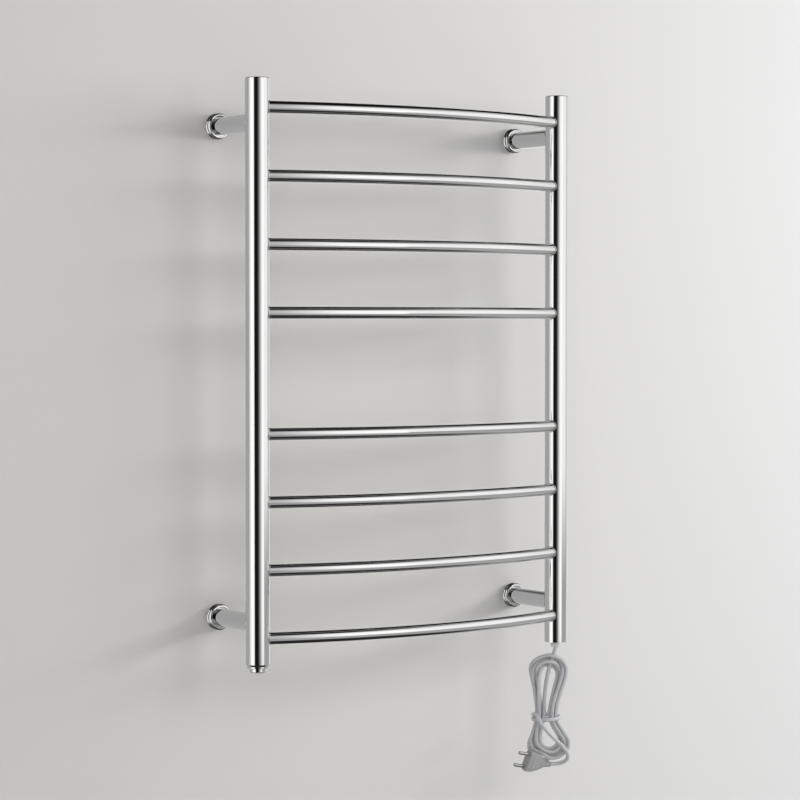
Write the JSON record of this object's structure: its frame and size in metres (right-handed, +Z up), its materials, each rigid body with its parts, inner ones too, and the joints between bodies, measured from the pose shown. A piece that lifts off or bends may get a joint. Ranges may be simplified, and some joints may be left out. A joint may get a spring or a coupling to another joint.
{
  "type": "towel warmer rack",
  "caption": "Wall-mounted ladder towel warmer in polished steel tube, with bowed rungs in two banks, ringed wall standoffs, and a mains cord tied in a hank below one post.",
  "frame": {"origin": "middle of the four wall screws, on the wall's surface", "axes": "+X along the wall to the right as seen from the room, +Y into the wall, +Z up"},
  "size_m": [0.539, 0.158, 0.9643],
  "materials": {
    "polished_steel": "mirror-polished stainless steel",
    "machined_steel": "turned stainless steel",
    "black_steel": "black oxide",
    "brass": "turned brass",
    "seal_rubber": "soft black rubber",
    "ceramic": "unglazed white ceramic",
    "resistance_wire": "oxidised resistance wire",
    "tinned_metal": "tinned",
    "thermostat_body": "phenolic",
    "brown_wire": "insulated wire",
    "blue_wire": "insulated wire",
    "green_wire": "green and yellow insulated wire",
    "inner_plastic": "moulded nylon",
    "relief_plastic": "translucent white",
    "cord_pvc": "pale grey PVC sheath",
    "plug_plastic": "moulded pale grey PVC",
    "nickel_pin": "nickel-plated brass"
  },
  "bodies": {
    "wall_fixings": {"wall_base_top_left": "machined_steel", "wall_base_top_right": "machined_steel", "wall_base_bottom_left": "machined_steel", "wall_base_bottom_right": "machined_steel"},
    "rack": {"left_post": "polished_steel", "right_post": "polished_steel", "left_top_cap": "polished_steel", "right_top_cap": "polished_steel", "left_bottom_cap": "polished_steel", "fill_plug": "polished_steel", "plug_seal": "seal_rubber", "right_bottom_bush": "polished_steel", "rung_1": "polished_steel", "rung_2": "polished_steel", "rung_3": "polished_steel", "rung_4": "polished_steel", "rung_5": "polished_steel", "rung_6": "polished_steel", "rung_7": "polished_steel", "rung_8": "polished_steel", "standoff_top_left": "polished_steel", "standoff_top_right": "polished_steel", "standoff_bottom_left": "polished_steel", "standoff_bottom_right": "polished_steel", "insert_top_left": "machined_steel", "insert_top_right": "machined_steel", "insert_bottom_left": "machined_steel", "insert_bottom_right": "machined_steel", "grub_screws": "black_steel", "element_boss": "brass", "boss_seal": "seal_rubber", "heater_sheath": "machined_steel", "magnesia_fill": "ceramic", "ceramic_core": "ceramic", "heating_coil": "resistance_wire", "terminal_pins": "tinned_metal", "crimp_sleeves": "tinned_metal", "thermostat": "thermostat_body", "thermal_fuse": "ceramic", "live_lead": "brown_wire", "neutral_lead": "blue_wire", "earth_lead": "green_wire", "link_leads": "brown_wire", "earth_tag": "tinned_metal", "earth_screw": "brass", "cord_grip": "inner_plastic", "grip_screws": "black_steel", "strain_relief": "relief_plastic", "cord_tail": "cord_pvc", "cord_lead": "cord_pvc", "cord_hank": "cord_pvc", "plug_body": "plug_plastic", "plug_pins": "nickel_pin"},
    "top_left_ring": {"cover_ring_top_left": "polished_steel"},
    "top_right_ring": {"cover_ring_top_right": "polished_steel"},
    "bottom_left_ring": {"cover_ring_bottom_left": "polished_steel"},
    "bottom_right_ring": {"cover_ring_bottom_right": "polished_steel"}
  },
  "joints": [
    {"name": "rack_pull_off", "type": "slide", "parent": "wall_fixings", "child": "rack", "axis": [0, -1, 0], "range_m": [0, 0.04]},
    {"name": "top_left_ring_slide", "type": "slide", "parent": "rack", "child": "top_left_ring", "axis": [0, -1, 0], "range_m": [0, 0.06]},
    {"name": "top_right_ring_slide", "type": "slide", "parent": "rack", "child": "top_right_ring", "axis": [0, -1, 0], "range_m": [0, 0.06]},
    {"name": "bottom_left_ring_slide", "type": "slide", "parent": "rack", "child": "bottom_left_ring", "axis": [0, -1, 0], "range_m": [0, 0.06]},
    {"name": "bottom_right_ring_slide", "type": "slide", "parent": "rack", "child": "bottom_right_ring", "axis": [0, -1, 0], "range_m": [0, 0.06]}
  ]
}
